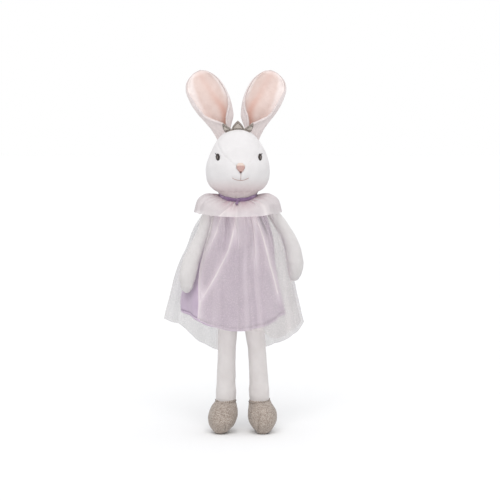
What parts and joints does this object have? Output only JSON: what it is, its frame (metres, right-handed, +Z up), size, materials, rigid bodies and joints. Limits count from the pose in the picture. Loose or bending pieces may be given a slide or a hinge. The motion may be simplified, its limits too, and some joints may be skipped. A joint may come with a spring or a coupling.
{
  "type": "stuffed bunny rabbit",
  "caption": "Soft rag-doll rabbit with upright ears, in a lavender dress under a sheer glitter overlay, with a neck ribbon, a small felt crown and glitter shoes.",
  "frame": {"origin": "on the standing plane, under the middle of the outline", "axes": "+Z up through the head, the rabbit faces -Y, its left side is at +X"},
  "size_m": [0.1684, 0.116, 0.4363],
  "materials": {
    "white_jersey": "brushed cotton jersey",
    "wadding": "loose polyester fibre",
    "ear_satin": "soft sheen satin",
    "dark_thread": "embroidery floss",
    "pink_thread": "embroidery floss",
    "mouth_thread": "embroidery floss",
    "glitter_felt": "glitter felt",
    "glitter_knit": "lurex knit",
    "lavender_cotton": "plain weave",
    "glitter_tulle": "sheer net with glitter",
    "soft_tulle": "sheer net, doubled",
    "purple_satin": "satin"
  },
  "bodies": {
    "torso": {"torso_cover": "white_jersey", "torso_stuffing": "wadding", "dress_front": "lavender_cotton", "dress_back": "lavender_cotton", "dress_hem": "lavender_cotton", "tulle_front_panel": "glitter_tulle", "tulle_back_right": "glitter_tulle", "tulle_back_left": "glitter_tulle", "tulle_collar": "soft_tulle", "neck_ribbon": "purple_satin", "ribbon_knot": "purple_satin"},
    "neck": {"neck": "white_jersey"},
    "head": {"head_cover": "white_jersey", "head_stuffing": "wadding", "right_eye": "dark_thread", "left_eye": "dark_thread", "right_lash": "dark_thread", "left_lash": "dark_thread", "nose": "pink_thread", "nose_shade": "dark_thread", "philtrum_stitch": "mouth_thread", "mouth_stitch": "mouth_thread", "crown": "glitter_felt"},
    "right_ear": {"right_ear_back": "white_jersey", "right_ear_wadding": "wadding", "right_ear_lining": "ear_satin"},
    "right_arm": {"right_arm_cover": "white_jersey", "right_arm_stuffing": "wadding"},
    "right_leg": {"right_leg_cover": "white_jersey", "right_leg_stuffing": "wadding"},
    "right_foot": {"right_shoe": "glitter_knit", "right_foot_stuffing": "wadding"},
    "left_ear": {"left_ear_back": "white_jersey", "left_ear_wadding": "wadding", "left_ear_lining": "ear_satin"},
    "left_arm": {"left_arm_cover": "white_jersey", "left_arm_stuffing": "wadding"},
    "left_leg": {"left_leg_cover": "white_jersey", "left_leg_stuffing": "wadding"},
    "left_foot": {"left_shoe": "glitter_knit", "left_foot_stuffing": "wadding"}
  },
  "joints": [
    {"name": "neck_turn", "type": "hinge", "parent": "torso", "child": "neck", "pos_m": [-0.0024, 0, 0.268], "axis": [0, 0, 1], "range_deg": [-60, 60], "deforming": ["tulle_collar", "neck_ribbon"]},
    {"name": "head_nod", "type": "hinge", "parent": "neck", "child": "head", "pos_m": [-0.0024, 0, 0.268], "axis": [1, 0, 0], "range_deg": [-12, 18], "deforming": ["tulle_collar", "neck_ribbon"]},
    {"name": "right_ear_flop", "type": "hinge", "parent": "head", "child": "right_ear", "pos_m": [-0.0209, 0.017, 0.3554], "axis": [1, 0, 0], "range_deg": [-60, 8]},
    {"name": "left_ear_flop", "type": "hinge", "parent": "head", "child": "left_ear", "pos_m": [0.0161, 0.017, 0.3554], "axis": [1, 0, 0], "range_deg": [-60, 8]},
    {"name": "right_arm_raise", "type": "hinge", "parent": "torso", "child": "right_arm", "pos_m": [-0.0376, 0, 0.262], "axis": [0, 1, 0], "range_deg": [0, 75], "deforming": ["tulle_collar"]},
    {"name": "left_arm_raise", "type": "hinge", "parent": "torso", "child": "left_arm", "pos_m": [0.04, 0, 0.262], "axis": [0, -1, 0], "range_deg": [0, 75], "deforming": ["tulle_collar"]},
    {"name": "right_leg_swing", "type": "hinge", "parent": "torso", "child": "right_leg", "pos_m": [-0.0128, 0, 0.138], "axis": [-1, 0, 0], "range_deg": [-20, 90], "deforming": ["dress_front", "dress_back", "dress_hem", "tulle_front_panel", "tulle_back_right", "tulle_back_left"]},
    {"name": "left_leg_swing", "type": "hinge", "parent": "torso", "child": "left_leg", "pos_m": [0.013, 0, 0.138], "axis": [-1, 0, 0], "range_deg": [-20, 90], "deforming": ["dress_front", "dress_back", "dress_hem", "tulle_front_panel", "tulle_back_right", "tulle_back_left"]},
    {"name": "right_ankle_flex", "type": "hinge", "parent": "right_leg", "child": "right_foot", "pos_m": [-0.0168, 0, 0.0415], "axis": [-1, 0, 0], "range_deg": [-18, 14]},
    {"name": "left_ankle_flex", "type": "hinge", "parent": "left_leg", "child": "left_foot", "pos_m": [0.0228, 0, 0.0415], "axis": [-1, 0, 0], "range_deg": [-18, 14]}
  ]
}
